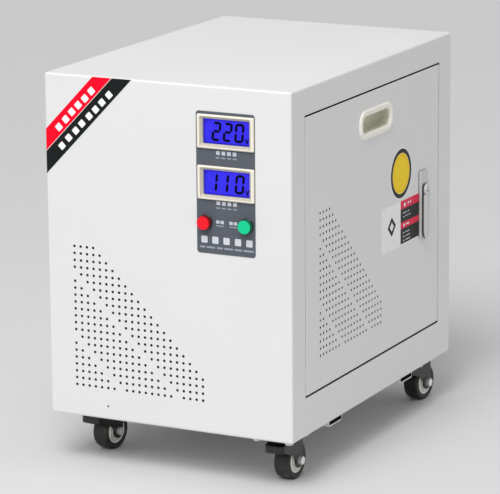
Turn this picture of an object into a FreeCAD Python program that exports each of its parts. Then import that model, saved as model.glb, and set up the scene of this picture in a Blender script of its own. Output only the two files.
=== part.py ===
import FreeCAD, Part
import math
import os
import re
import Sketcher

# Floor-type step-down transformer: white sheet steel cabinet on four swivel
# casters, side door, two panel meters, two lamps, core and coils inside.
# Millimetres, +Z up, floor at Z = 0, front towards -Y, door towards +X.

V = FreeCAD.Vector
os.makedirs("parts", exist_ok=True)
doc = FreeCAD.newDocument("step_down_transformer")

# ---------------------------------------------------------------- dimensions
sheet = doc.addObject("Spreadsheet::Sheet", "params")
CELLS = [
    # whole cabinet
    ("shift_x", -4.3), ("shift_y", 3.05),
    ("cab_width", 350.0), ("cab_depth", 500.0), ("cab_height", 450.0), ("leg_height", 66.0),
    ("gauge", 1.5), ("bend_radius", 3.0), ("flange_depth", 12.0),
    # door opening and door
    ("open_front", -212.0), ("open_rear", 210.0), ("open_low", 50.5), ("open_high", 414.5),
    ("door_gap", 2.0), ("door_depth", 14.0), ("door_bend", 2.0),
    ("jamb_depth", 19.5), ("jamb_deep", 28.0), ("lip_width", 10.0), ("lip_start", -180.0),
    ("gasket_thick", 3.5), ("gasket_width", 6.0),
    # grilles
    ("vent_hole", 3.7), ("vent_pitch", 9.2), ("front_vent_left", -135.5), ("front_vent_top", 226.5),
    ("door_vent_pitch", 9.3), ("door_vent_left", -168.0), ("door_vent_top", 282.0),
    # control field
    ("panel_left", 43.0), ("panel_right", 125.0), ("panel_low", 236.5), ("panel_high", 418.0),
    ("overlay_thick", 0.5), ("overlay_radius", 4.0),
    ("meter_x", 84.8), ("meter_upper", 392.8), ("meter_lower", 327.7),
    ("meter_wide", 79.0), ("meter_tall", 43.0), ("meter_proud", 3.2),
    ("meter_cut_wide", 76.0), ("meter_cut_tall", 39.0), ("meter_back", 28.0),
    ("window_wide", 65.0), ("window_tall", 32.0), ("display_thick", 1.4), ("display_low", -4.0),
    ("lamp_left", 55.5), ("lamp_right", 113.0), ("lamp_level", 276.5),
    ("lamp_bore", 16.0), ("lamp_ring", 19.8), ("lamp_lens", 17.4), ("lamp_proud", 8.8),
    ("nut_flats", 19.0),
    # casters
    ("swivel_x", 138.0), ("swivel_y", 200.0), ("fl_y", 190.0), ("fr_y", 208.0), ("trail", 24.0), ("wheel_radius", 25.0),
    ("tyre_width", 22.0), ("rim_radius", 17.0), ("axle_size", 6.0), ("kingpin_size", 10.0),
    ("running_gap", 0.05), ("fork_wide", 28.0), ("fork_inside", 24.0),
    ("plate_side", 60.0), ("plate_thick", 2.5), ("screw_pitch", 45.0), ("screw_size", 6.0),
    ("yaw_fl", 8.0), ("yaw_fr", 2.0), ("yaw_rr", 6.0), ("yaw_rl", 4.0),
    # base rails
    ("rail_y", 113.0), ("rail_length", 340.0), ("rail_drop", 9.0), ("rail_wide", 40.0),
    # core and coils
    ("core_x", -30.0), ("core_stack", 90.0), ("core_wide", 260.0), ("core_tall", 270.0),
    ("leg_wide", 65.0), ("core_low", 12.0), ("coil_wide", 115.0), ("coil_deep", 140.0),
    ("coil_tall", 136.0), ("clamp_length", 280.0), ("bolt_size", 10.0),
    ("board_wide", 54.0), ("board_length", 290.0), ("board_thick", 8.0), ("stud_x", 67.5),
    ("lead_size", 5.0), ("cable_size", 8.0),
    # rear grommets
    ("grommet_x", 60.0), ("grommet_level", 60.0), ("grommet_bore", 40.0),
    # pull handle
    ("pull_y", 1.2), ("pull_level", 370.5), ("pull_wide", 103.0), ("pull_tall", 39.0),
    ("pull_open_wide", 85.0), ("pull_open_tall", 22.0), ("pull_deep", 16.0), ("pull_proud", 2.6),
    # hinges
    ("pivot_x", 169.0), ("pivot_y", -198.0), ("hinge_low", 58.0), ("hinge_high", 363.0),
    ("hinge_length", 44.0), ("knuckle", 8.0), ("pin_size", 4.0),
    # lock
    ("lock_y", 153.0), ("lock_level", 250.0), ("lock_wide", 24.0), ("lock_top", 26.0),
    ("lock_bottom", -65.5), ("lock_thick", 3.8), ("spindle_size", 12.0), ("head_size", 16.0),
    ("lever_drop", -4.0), ("lever_mid", 6.4), ("lever_thick", 4.2), ("lever_pin_size", 2.5),
    ("cam_reach", 53.0),
]
ALIASES = set()
for i, (alias, value) in enumerate(CELLS, 1):
    sheet.set("A%d" % i, alias)
    sheet.set("B%d" % i, str(value))
    sheet.setAlias("B%d" % i, alias)
    ALIASES.add(alias)
doc.recompute()


def px(e):
    return re.sub(r"[a-z_][a-z0-9_]*",
                  lambda m: "params." + m.group(0) if m.group(0) in ALIASES else m.group(0), str(e))


def driven(e):
    return "params." in px(e)


def val(e):
    return float(sheet.evalExpression(px(e)))


def bind(obj, prop, e):
    if driven(e):
        obj.setExpression(prop, px(e))
    else:
        setattr(obj, prop, float(val(e)))


# ---------------------------------------------------------------- directions
UP = FreeCAD.Rotation()
FRONT = FreeCAD.Rotation(V(1, 0, 0), V(0, 0, 1), V(0, -1, 0), "XYZ")
RIGHT = FreeCAD.Rotation(V(0, 1, 0), V(0, 0, 1), V(1, 0, 0), "XYZ")
REAR = FreeCAD.Rotation(V(-1, 0, 0), V(0, 0, 1), V(0, 1, 0), "XYZ")
LEFT = FreeCAD.Rotation(V(0, -1, 0), V(0, 0, 1), V(-1, 0, 0), "XYZ")
DOWN = FreeCAD.Rotation(V(1, 0, 0), V(0, -1, 0), V(0, 0, -1), "XYZ")

NODES = []


def place(obj, x, y, z, rot=UP, node=True):
    if node:
        x, y = "(%s)+shift_x" % x, "(%s)+shift_y" % y
        NODES.append(obj)
    obj.Placement = FreeCAD.Placement(V(val(x), val(y), val(z)), rot)
    for axis, e in (("x", x), ("y", y), ("z", z)):
        if driven(e):
            obj.setExpression(".Placement.Base." + axis, px(e))


def new_body(name):
    b = doc.addObject("PartDesign::Body", name)
    b.Label = name
    b.AllowCompound = True
    return b


def group(name, members):
    c = doc.addObject("Part::Compound", name)
    c.Label = name
    c.Links = members
    place(c, "0", "0", "0")
    return c


# ---------------------------------------------------------------- sketches
def sketch(b, plane="XY", off="0"):
    s = b.newObject("Sketcher::SketchObject", b.Name + "_sketch")
    plane_obj = [f for f in b.Origin.OriginFeatures if f.Role == plane + "_Plane"][0]
    s.AttachmentSupport = [(plane_obj, "")]
    s.MapMode = "FlatFace"
    if str(off) != "0":
        s.AttachmentOffset = FreeCAD.Placement(V(0, 0, val(off)), UP)
        if driven(off):
            s.setExpression(".AttachmentOffset.Base.z", px(off))
    return s


def pin_point(s, geo, pos, ex, ey):
    for kind, e in (("DistanceX", ex), ("DistanceY", ey)):
        k = s.addConstraint(Sketcher.Constraint(kind, -1, 1, geo, pos, val(e)))
        if driven(e):
            s.setExpression("Constraints[%d]" % k, px(e))


def poly(s, pts):
    """Closed outline through the points, each bound to its own cell values."""
    first = s.GeometryCount
    vals = [(val(a), val(c)) for a, c in pts]
    n = len(pts)
    s.addGeometry([Part.LineSegment(V(vals[i][0], vals[i][1], 0),
                                    V(vals[(i + 1) % n][0], vals[(i + 1) % n][1], 0))
                   for i in range(n)])
    s.addConstraint([Sketcher.Constraint("Coincident", first + i, 2, first + (i + 1) % n, 1)
                     for i in range(n)])
    for i, (a, c) in enumerate(pts):
        pin_point(s, first + i, 1, a, c)
    return s


def rect(s, x0, y0, x1, y1):
    return poly(s, [(x0, y0), (x1, y0), (x1, y1), (x0, y1)])


def rrect(s, cx, cy, w, h, r):
    """Rounded rectangle with tangent arcs."""
    g = s.GeometryCount
    x0, x1 = "(%s)-(%s)/2" % (cx, w), "(%s)+(%s)/2" % (cx, w)
    y0, y1 = "(%s)-(%s)/2" % (cy, h), "(%s)+(%s)/2" % (cy, h)
    a, c, d, e, q = val(x0), val(x1), val(y0), val(y1), val(r)
    up = V(0, 0, 1)
    s.addGeometry([
        Part.LineSegment(V(a + q, d, 0), V(c - q, d, 0)),
        Part.LineSegment(V(c, d + q, 0), V(c, e - q, 0)),
        Part.LineSegment(V(c - q, e, 0), V(a + q, e, 0)),
        Part.LineSegment(V(a, e - q, 0), V(a, d + q, 0)),
        Part.ArcOfCircle(Part.Circle(V(c - q, d + q, 0), up, q), -math.pi / 2, 0),
        Part.ArcOfCircle(Part.Circle(V(c - q, e - q, 0), up, q), 0, math.pi / 2),
        Part.ArcOfCircle(Part.Circle(V(a + q, e - q, 0), up, q), math.pi / 2, math.pi),
        Part.ArcOfCircle(Part.Circle(V(a + q, d + q, 0), up, q), math.pi, 1.5 * math.pi)])
    C = Sketcher.Constraint
    s.addConstraint([C("Tangent", g, 2, g + 4, 1), C("Tangent", g + 4, 2, g + 1, 1),
                     C("Tangent", g + 1, 2, g + 5, 1), C("Tangent", g + 5, 2, g + 2, 1),
                     C("Tangent", g + 2, 2, g + 6, 1), C("Tangent", g + 6, 2, g + 3, 1),
                     C("Tangent", g + 3, 2, g + 7, 1), C("Tangent", g + 7, 2, g, 1),
                     C("Horizontal", g), C("Horizontal", g + 2),
                     C("Vertical", g + 1), C("Vertical", g + 3),
                     C("Equal", g + 4, g + 5), C("Equal", g + 5, g + 6), C("Equal", g + 6, g + 7)])
    for kind, geo, e_ in (("DistanceY", g, y0), ("DistanceY", g + 2, y1),
                          ("DistanceX", g + 1, x1), ("DistanceX", g + 3, x0)):
        k = s.addConstraint(C(kind, -1, 1, geo, 1, val(e_)))
        if driven(e_):
            s.setExpression("Constraints[%d]" % k, px(e_))
    k = s.addConstraint(C("Radius", g + 4, q))
    if driven(r):
        s.setExpression("Constraints[%d]" % k, px(r))
    return s


def circle(s, cx, cy, d):
    g = s.GeometryCount
    s.addGeometry(Part.Circle(V(val(cx), val(cy), 0), V(0, 0, 1), val(d) / 2))
    pin_point(s, g, 3, cx, cy)
    k = s.addConstraint(Sketcher.Constraint("Diameter", g, val(d)))
    if driven(d):
        s.setExpression("Constraints[%d]" % k, px(d))
    return s


def hexagon(s, cx, cy, flats, turn=0.0):
    f = val(flats) / math.sqrt(3)
    x, y = val(cx), val(cy)
    pts = []
    for k in range(6):
        a = math.radians(turn + 60 * k)
        pts.append(("(%s)+(%s)*%.6f" % (cx, flats, math.cos(a) / math.sqrt(3)),
                    "(%s)+(%s)*%.6f" % (cy, flats, math.sin(a) / math.sqrt(3))))
    return poly(s, pts)


def grille(s, left, top, pitch, hole):
    """Round holes on a square pitch: two diagonal gaps and an empty upper corner."""
    x0, y0, p, r = val(left), val(top), val(pitch), val(hole) / 2
    circles = []
    for row in range(21):
        for col in range(min(3 + row, 20) + 1):
            if row - col in (4, 13):
                continue
            circles.append(Part.Circle(V(x0 + col * p, y0 - row * p, 0), V(0, 0, 1), r))
    s.addGeometry(circles)
    s.addConstraint([Sketcher.Constraint("Equal", 0, i) for i in range(1, len(circles))])
    pin_point(s, 0, 3, left, top)
    k = s.addConstraint(Sketcher.Constraint("Diameter", 0, 2 * r))
    s.setExpression("Constraints[%d]" % k, px(hole))
    return s


# ---------------------------------------------------------------- features
def pad(b, s, length, back=False):
    f = b.newObject("PartDesign::Pad", b.Name + "_pad")
    f.Profile = s
    bind(f, "Length", length)
    f.Reversed = back
    s.Visibility = False
    return f


def pocket(b, s, length, back=False):
    f = b.newObject("PartDesign::Pocket", b.Name + "_pocket")
    f.Profile = s
    bind(f, "Length", length)
    f.Reversed = back
    return f


def revolve(b, s):
    f = b.newObject("PartDesign::Revolution", b.Name + "_turn")
    f.Profile = s
    f.ReferenceAxis = (s, ["V_Axis"])
    f.Angle = 360.0
    return f


def pick(f, rule):
    doc.recompute()
    out = []
    for i, e in enumerate(f.Shape.Edges, 1):
        bb = e.BoundBox
        if rule(e, bb):
            out.append("Edge%d" % i)
    return out


def near(a, c, tol=0.02):
    return abs(a - c) < tol


def fillet(b, f, rule, radius, kind="PartDesign::Fillet"):
    names = pick(f, rule)
    if not names:
        raise RuntimeError("no edges for fillet on " + b.Name)
    g = b.newObject(kind, b.Name + "_edge")
    g.Base = (f, names)
    bind(g, "Radius" if kind.endswith("Fillet") else "Size", radius)
    return g


def chamfer(b, f, rule, size):
    return fillet(b, f, rule, size, "PartDesign::Chamfer")


def hollow(b, f, rule, thick):
    doc.recompute()
    names = ["Face%d" % i for i, q in enumerate(f.Shape.Faces, 1) if rule(q.BoundBox)]
    g = b.newObject("PartDesign::Thickness", b.Name + "_shell")
    g.Base = (f, names)
    bind(g, "Value", thick)
    g.Reversed = True
    doc.recompute()
    return g


# ---------------------------------------------------------------- cabinet shell
def tray(b, x0, y0, x1, y1, depth, corner):
    f = pad(b, rect(sketch(b, off="-(%s)" % depth), x0, y0, x1, y1), depth)
    low = -val(depth)
    g = fillet(b, f, lambda e, bb: not (near(bb.ZMin, low) and near(bb.ZMax, low)), corner)
    return hollow(b, g, lambda bb: near(bb.ZMin, low) and near(bb.ZMax, low), "gauge")


front = new_body("front_panel")
tray(front, "-cab_width/2", "0", "cab_width/2", "cab_height", "flange_depth", "bend_radius")
s = sketch(front)
rrect(s, "meter_x", "meter_upper", "meter_cut_wide", "meter_cut_tall", "1")
rrect(s, "meter_x", "meter_lower", "meter_cut_wide", "meter_cut_tall", "1")
circle(s, "lamp_left", "lamp_level", "lamp_bore")
circle(s, "lamp_right", "lamp_level", "lamp_bore")
pocket(front, s, "2*gauge")
pocket(front, grille(sketch(front), "front_vent_left", "front_vent_top", "vent_pitch", "vent_hole"),
       "2*gauge")
place(front, "0", "-cab_depth/2", "leg_height", FRONT)

rear = new_body("rear_panel")
tray(rear, "-cab_width/2", "0", "cab_width/2", "cab_height", "flange_depth", "bend_radius")
s = sketch(rear)
circle(s, "grommet_x", "grommet_level", "grommet_bore")
circle(s, "-grommet_x", "grommet_level", "grommet_bore")
pocket(rear, s, "2*gauge")
place(rear, "0", "cab_depth/2", "leg_height", REAR)


def channel(b):
    f = pad(b, rect(sketch(b, off="-flange_depth"), "-cab_width/2", "flange_depth-cab_depth/2",
                    "cab_width/2", "cab_depth/2-flange_depth"), "flange_depth")
    g = fillet(b, f, lambda e, bb: near(bb.ZMin, 0) and near(bb.ZMax, 0) and bb.XLength < 0.01,
               "bend_radius")
    y = val("cab_depth/2-flange_depth")
    low = -val("flange_depth")
    return hollow(b, g, lambda bb: (near(bb.ZMin, low) and near(bb.ZMax, low)) or
                  (near(bb.YMin, y) and near(bb.YMax, y)) or
                  (near(bb.YMin, -y) and near(bb.YMax, -y)), "gauge")


top = new_body("top_panel")
channel(top)
place(top, "0", "0", "leg_height+cab_height", UP)

base = new_body("base_panel")
channel(base)
s = sketch(base)
for bx, by in (("-swivel_x", "fl_y"), ("swivel_x", "fr_y"),
               ("-swivel_x", "-swivel_y"), ("swivel_x", "-swivel_y")):
    for dx in ("-", "+"):
        for dy in ("-", "+"):
            circle(s, "%s%sscrew_pitch/2" % (bx, dx), "%s%sscrew_pitch/2" % (by, dy),
                   "screw_size+0.4")
for bx in ("core_x+core_stack/2+25", "core_x-core_stack/2-25"):
    for sy in ("-", ""):
        circle(s, bx, sy + "rail_y", "bolt_size+0.5")
pocket(base, s, "2*gauge")
place(base, "0", "0", "leg_height", DOWN)

left = new_body("left_panel")
pad(left, rect(sketch(left, off="-gauge"), "flange_depth-cab_depth/2", "flange_depth",
               "cab_depth/2-flange_depth", "cab_height-flange_depth"), "gauge")
place(left, "-cab_width/2", "0", "leg_height", LEFT)

# frame round the door: flat sheet, jamb folded inwards, stop lips on three sides
frame = new_body("right_frame")
pad(frame, rect(sketch(frame, off="-gauge"), "flange_depth-cab_depth/2", "flange_depth",
                "cab_depth/2-flange_depth", "cab_height-flange_depth"), "gauge")
pad(frame, rect(sketch(frame, off="-jamb_depth"), "open_front-gauge", "open_low-gauge",
                "open_rear+gauge", "open_high+gauge"), "jamb_depth-gauge")
pocket(frame, rect(sketch(frame), "open_front", "open_low", "open_rear", "open_high"),
       "2*jamb_depth")
pad(frame, rect(sketch(frame, off="-jamb_deep"), "open_front-gauge", "open_low-gauge",
                "open_front", "open_high+gauge"), "jamb_deep-jamb_depth")
s = sketch(frame, off="-jamb_depth")
poly(s, [("lip_start", "open_low"), ("open_rear", "open_low"), ("open_rear", "open_high"),
         ("lip_start", "open_high"), ("lip_start", "open_high-lip_width"),
         ("open_rear-lip_width", "open_high-lip_width"),
         ("open_rear-lip_width", "open_low+lip_width"), ("lip_start", "open_low+lip_width")])
pad(frame, s, "gauge")
place(frame, "cab_width/2", "0", "leg_height", RIGHT)

gasket = new_body("door_gasket")
s = sketch(gasket, off="gauge-jamb_depth")
poly(s, [("lip_start", "open_low+2"), ("open_rear-2", "open_low+2"),
         ("open_rear-2", "open_high-2"), ("lip_start", "open_high-2"),
         ("lip_start", "open_high-2-gasket_width"),
         ("open_rear-2-gasket_width", "open_high-2-gasket_width"),
         ("open_rear-2-gasket_width", "open_low+2+gasket_width"),
         ("lip_start", "open_low+2+gasket_width")])
f = pad(gasket, s, "gasket_thick")
zt = val("gauge-jamb_depth+gasket_thick")
fillet(gasket, f, lambda e, bb: near(bb.ZMin, zt) and near(bb.ZMax, zt) and
       bb.DiagonalLength > 20, "1.2")
place(gasket, "cab_width/2", "0", "leg_height", RIGHT)

# ---------------------------------------------------------------- base rails
for name, sy in (("front_base_rail", "-"), ("rear_base_rail", "")):
    r_ = new_body(name)
    s = sketch(r_, "YZ", "-rail_length/2")
    poly(s, [("-rail_wide/2", "0"), ("1-rail_wide/2", "-rail_drop"), ("rail_wide/2-1", "-rail_drop"),
             ("rail_wide/2", "0"), ("rail_wide/2-1.8", "0"), ("rail_wide/2-2.7", "1.8-rail_drop"),
             ("2.7-rail_wide/2", "1.8-rail_drop"), ("1.8-rail_wide/2", "0")])
    f = pad(r_, s, "rail_length")
    low = -val("rail_drop")
    fillet(r_, f, lambda e, bb: near(bb.ZMin, low) and near(bb.ZMax, low) and bb.XLength > 100, "1.2")
    place(r_, "0", sy + "rail_y", "leg_height")

# ---------------------------------------------------------------- side door
door = new_body("right_door")
tray(door, "open_front+door_gap", "open_low+door_gap", "open_rear-door_gap", "open_high-door_gap",
     "door_depth", "door_bend")
s = sketch(door)
rrect(s, "pull_y", "pull_level", "pull_open_wide+4", "pull_open_tall+4", "11")
circle(s, "lock_y", "lock_level", "spindle_size+6.2")
pocket(door, s, "2*gauge")
pocket(door, grille(sketch(door), "door_vent_left", "door_vent_top", "door_vent_pitch", "vent_hole"),
       "2*gauge")
place(door, "cab_width/2", "0", "leg_height", RIGHT)

# recessed pull: convex rim and a deep cup behind it
pull = new_body("pull_handle")
f = pad(pull, rrect(sketch(pull), "0", "0", "pull_wide", "pull_tall", "17"), "pull_proud")
zt = val("pull_proud")
fillet(pull, f, lambda e, bb: near(bb.ZMin, zt) and near(bb.ZMax, zt), "2.5")
pad(pull, rrect(sketch(pull), "0", "0", "pull_open_wide+3", "pull_open_tall+3", "10.5"),
    "pull_deep+1.5", back=True)
f = pocket(pull, rrect(sketch(pull, off="pull_proud"), "0", "0", "pull_open_wide", "pull_open_tall",
                       "9"), "pull_proud+pull_deep")
zb = -val("pull_deep")
g = fillet(pull, f, lambda e, bb: near(bb.ZMin, zb) and near(bb.ZMax, zb), "3")
fillet(pull, g, lambda e, bb: near(bb.ZMin, zt) and near(bb.ZMax, zt) and bb.XMax < 44.5 and
       bb.XMin > -44.5 and bb.YMax < 11.5 and bb.YMin > -11.5, "3.2")
place(pull, "cab_width/2", "pull_y", "leg_height+pull_level", RIGHT)

# stickers, 0.3 thick
spot = new_body("round_sticker")
pad(spot, circle(sketch(spot), "0", "0", "70"), "0.3")
place(spot, "cab_width/2", "82.5", "leg_height+285", RIGHT)
block = new_body("block_sticker")
pad(block, rrect(sketch(block), "0", "0", "119.8", "61", "1"), "0.3")
place(block, "cab_width/2", "80.9", "leg_height+216.5", RIGHT)
stripe = new_body("corner_sticker")
s = sketch(stripe)
poly(s, [("-106.9", "cab_height-bend_radius"), ("bend_radius-cab_width/2", "379.1"),
         ("bend_radius-cab_width/2", "320.1"), ("-49.9", "cab_height-bend_radius")])
pad(stripe, s, "0.3")
place(stripe, "0", "-cab_depth/2", "leg_height", FRONT)

# ---------------------------------------------------------------- control field
over = new_body("control_overlay")
pad(over, rrect(sketch(over), "(panel_left+panel_right)/2", "(panel_low+panel_high)/2",
                "panel_right-panel_left", "panel_high-panel_low", "overlay_radius"), "overlay_thick")
s = sketch(over)
rrect(s, "meter_x", "meter_upper", "meter_cut_wide", "meter_cut_tall", "1")
rrect(s, "meter_x", "meter_lower", "meter_cut_wide", "meter_cut_tall", "1")
circle(s, "lamp_left", "lamp_level", "lamp_bore")
circle(s, "lamp_right", "lamp_level", "lamp_bore")
pocket(over, s, "2*overlay_thick", back=True)
place(over, "0", "-cab_depth/2", "leg_height", FRONT)

for which in ("upper", "lower"):
    m_ = new_body(which + "_meter_housing")
    f = pad(m_, rrect(sketch(m_), "0", "0", "meter_wide", "meter_tall", "1.6"), "meter_proud")
    zt = val("meter_proud")
    chamfer(m_, f, lambda e, bb: near(bb.ZMin, zt) and near(bb.ZMax, zt), "1.2")
    pad(m_, rrect(sketch(m_), "0", "0", "meter_cut_wide-0.4", "meter_cut_tall-0.4", "1"),
        "meter_back", back=True)
    f = pocket(m_, rrect(sketch(m_, off="meter_proud"), "0", "0", "window_wide", "window_tall", "1"),
               "meter_proud-display_low")
    chamfer(m_, f, lambda e, bb: near(bb.ZMin, zt) and near(bb.ZMax, zt) and
            bb.XMax < 33 and bb.XMin > -33 and bb.YMax < 17 and bb.YMin > -17, "3.4")
    place(m_, "meter_x", "-cab_depth/2-overlay_thick", "leg_height+meter_" + which, FRONT)
    d_ = new_body(which + "_meter_display")
    pad(d_, rrect(sketch(d_, off="display_low"), "0", "0", "window_wide-0.2", "window_tall-0.2", "0.9"),
        "display_thick")
    place(d_, "meter_x", "-cab_depth/2-overlay_thick", "leg_height+meter_" + which, FRONT)

for colour, lx in (("red", "lamp_left"), ("green", "lamp_right")):
    q = new_body(colour + "_lamp_body")
    s = sketch(q, "XZ")
    poly(s, [("0", "-26"), ("lamp_bore/2-0.15", "-26"), ("lamp_bore/2-0.15", "0"), ("lamp_ring/2", "0"),
             ("lamp_ring/2", "1.5"), ("lamp_ring/2-0.7", "2.2"), ("lamp_lens/2+0.1", "2.2"),
             ("lamp_lens/2+0.1", "0.6"), ("0", "0.6")])
    revolve(q, s)
    for sx in ("-", ""):
        cx = "4" if sx == "" else "-4"
        pad(q, rect(sketch(q, off="-26"), cx + "-0.4", "-1.4", cx + "+0.4", "1.4"), "8", back=True)
    place(q, lx, "-cab_depth/2-overlay_thick", "leg_height+lamp_level", FRONT)
    q = new_body(colour + "_lamp_lens")
    s = sketch(q, "XZ")
    poly(s, [("0", "0.6"), ("lamp_lens/2", "0.6"), ("lamp_lens/2", "4.6"), ("lamp_lens/2-0.9", "5.0"),
             ("lamp_lens/2-0.9", "5.5"), ("lamp_lens/2", "5.9"), ("lamp_lens/2", "lamp_proud-0.8"),
             ("lamp_lens/2-0.25", "lamp_proud-0.25"), ("lamp_lens/2-0.8", "lamp_proud"),
             ("0", "lamp_proud")])
    revolve(q, s)
    place(q, lx, "-cab_depth/2-overlay_thick", "leg_height+lamp_level", FRONT)

nuts = new_body("lamp_nuts")
s = sketch(nuts, off="-6-overlay_thick")
for lx in ("lamp_left", "lamp_right"):
    hexagon(s, lx, "lamp_level", "nut_flats", 30)
    circle(s, lx, "lamp_level", "lamp_bore-0.3")
pad(nuts, s, "6+overlay_thick-gauge-overlay_thick")
place(nuts, "0", "-cab_depth/2", "leg_height", FRONT)

# ---------------------------------------------------------------- rear grommets
members = []
for sx in ("-", ""):
    q = new_body("grommet_" + ("a" if sx else "b"))
    s = sketch(q, "XZ")
    poly(s, [("0", "0.4"), ("14", "0.4"), ("16.5", "3.2"), ("21", "3.2"), ("grommet_bore/2+3.5", "1.5"),
             ("grommet_bore/2+3.5", "0"), ("grommet_bore/2", "0"), ("grommet_bore/2", "-gauge"),
             ("grommet_bore/2+3", "-gauge"), ("grommet_bore/2+2.5", "-4.5"), ("16.5", "-4.5"),
             ("14", "-1.2"), ("0", "-1.2")])
    revolve(q, s)
    place(q, sx + "grommet_x", "cab_depth/2", "leg_height+grommet_level", REAR, node=False)
    members.append(q)
group("rear_grommets", members)

# ---------------------------------------------------------------- hinges
# pivot behind the door face near its front edge; the frame leaf is a gooseneck
# that reaches round the folded edge of the open door
fl, dl, pn = [], [], []
for tag, hz in (("low", "hinge_low"), ("high", "hinge_high")):
    q = new_body("frame_leaf_" + tag)
    pad(q, circle(sketch(q, off="12.3"), "pivot_x", "pivot_y", "knuckle"), "hinge_length-24.6")
    s = sketch(q, off="12.3")
    poly(s, [("pivot_x-3.5", "pivot_y"), ("pivot_x-0.5", "pivot_y"), ("pivot_x-0.5", "pivot_y+18"),
             ("147", "pivot_y+18"), ("147", "pivot_y+10"), ("150", "pivot_y+10"),
             ("150", "pivot_y+15"), ("pivot_x-3.5", "pivot_y+15")])
    pad(q, s, "hinge_length-24.6")
    s = sketch(q, off="4")
    poly(s, [("147", "open_front"), ("157", "open_front"), ("157", "open_front+3"),
             ("150", "open_front+3"), ("150", "pivot_y+18"), ("147", "pivot_y+18")])
    pad(q, s, "hinge_length-8")
    pocket(q, circle(sketch(q, off="hinge_length"), "pivot_x", "pivot_y",
                     "pin_size+2*running_gap"), "hinge_length")
    place(q, "0", "0", "leg_height+" + hz, node=False)
    fl.append(q)
    q = new_body("door_leaf_" + tag)
    pad(q, rect(sketch(q), "170.5", "pivot_y+8", "cab_width/2-gauge", "pivot_y+26"), "hinge_length")
    for off in ("0", "hinge_length-12"):
        pad(q, rect(sketch(q, off=off), "170.5", "pivot_y-2", "cab_width/2-gauge", "pivot_y+8"), "12")
        pad(q, circle(sketch(q, off=off), "pivot_x", "pivot_y", "knuckle"), "12")
    pocket(q, circle(sketch(q, off="hinge_length"), "pivot_x", "pivot_y", "pin_size"),
           "hinge_length")
    place(q, "0", "0", "leg_height+" + hz, node=False)
    dl.append(q)
    q = new_body("hinge_pin_" + tag)
    pad(q, circle(sketch(q), "pivot_x", "pivot_y", "pin_size"), "hinge_length")
    pad(q, circle(sketch(q, off="hinge_length"), "pivot_x", "pivot_y", "pin_size+2"), "1.2")
    place(q, "0", "0", "leg_height+" + hz, node=False)
    pn.append(q)
group("hinge_frame_leaves", fl)
group("hinge_door_leaves", dl)
group("hinge_pins", pn)

# ---------------------------------------------------------------- lock
# plate and barrel fixed to the door; the spindle turns in the barrel; the lever
# hangs from a cross pin in the spindle head
lock = new_body("lock_housing")
f = pad(lock, rrect(sketch(lock), "0", "(lock_top+lock_bottom)/2", "lock_wide", "lock_top-lock_bottom",
                    "2.5"), "lock_thick")
zt = val("lock_thick")
fillet(lock, f, lambda e, bb: near(bb.ZMin, zt) and near(bb.ZMax, zt), "1")
s = sketch(lock, off="lock_thick")
poly(s, [("-8.8", "lock_bottom-1"), ("8.8", "lock_bottom-1"), ("8.8", "8.9"), ("-8.8", "8.9")])
pocket(lock, s, "0.8")
pad(lock, circle(sketch(lock), "0", "0", "spindle_size+6"), "door_depth", back=True)
pocket(lock, circle(sketch(lock, off="lock_thick"), "0", "0", "spindle_size+2*running_gap"),
       "lock_thick+door_depth+1")
place(lock, "cab_width/2", "lock_y", "leg_height+lock_level", RIGHT)

spin = new_body("lock_spindle")
pad(spin, circle(sketch(spin, off="-20.8"), "0", "0", "spindle_size"), "25")
pad(spin, circle(sketch(spin, off="-25.5"), "0", "0", "8"), "4.7")
f = pad(spin, circle(sketch(spin, off="4.2"), "0", "0", "head_size"), "4.4")
fillet(spin, f, lambda e, bb: near(bb.ZMin, 8.6) and near(bb.ZMax, 8.6), "1.2")
pocket(spin, rect(sketch(spin, off="8.6"), "-3.1", "-9", "3.1", "-0.6"), "5.2")
pocket(spin, circle(sketch(spin, "YZ", "-10"), "lever_drop", "lever_mid", "lever_pin_size"), "20",
       back=True)
place(spin, "cab_width/2", "lock_y", "leg_height+lock_level", RIGHT)

cam = new_body("lock_cam")
s = sketch(cam, off="-24")
f = pad(cam, rect(s, "-9", "-8", "cam_reach", "8"), "3")
fillet(cam, f, lambda e, bb: bb.ZLength > 2.5 and bb.XLength < 0.1 and bb.YLength < 0.1, "4")
pocket(cam, circle(sketch(cam, off="-21"), "0", "0", "8"), "3")
place(cam, "cab_width/2", "lock_y", "leg_height+lock_level", RIGHT)

lever = new_body("lock_lever")
s = sketch(lever, off="lever_mid-lever_thick/2")
g0 = [(-8.0, -6.1), (-8.0, -30.0), (-7.6, -58.0), (-3.6, -68.0), (3.6, -68.0), (7.6, -58.0),
      (8.0, -30.0), (8.0, -6.1), (6.35, -6.1), (4.2, -7.87), (2.9, -8.48), (2.9, -4.0), (-2.9, -4.0),
      (-2.9, -8.48), (-4.2, -7.87), (-6.35, -6.1)]
poly(s, [(str(a), str(c)) for a, c in g0])
f = pad(lever, s, "lever_thick")
zt = val("lever_mid+lever_thick/2")
g = fillet(lever, f, lambda e, bb: near(bb.ZMin, zt) and near(bb.ZMax, zt) and bb.YMax < -5.6 and
           (bb.XMin > 3.5 or bb.XMax < -3.5 or bb.YMax < -60) and
           (abs(bb.XMin) > 7 or abs(bb.XMax) > 7 or bb.YMax < -60), "1.2")
pad(lever, circle(sketch(lever, "YZ", "-2.9"), "lever_drop", "lever_mid", "lever_thick"), "5.8")
pocket(lever, circle(sketch(lever, "YZ", "-10"), "lever_drop", "lever_mid",
                     "lever_pin_size+2*running_gap"), "20", back=True)
place(lever, "cab_width/2", "lock_y", "leg_height+lock_level", RIGHT)

pin = new_body("lever_pin")
pad(pin, circle(sketch(pin, "YZ", "-6.6"), "lever_drop", "lever_mid", "lever_pin_size"), "13.2")
place(pin, "cab_width/2", "lock_y", "leg_height+lock_level", RIGHT)

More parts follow.
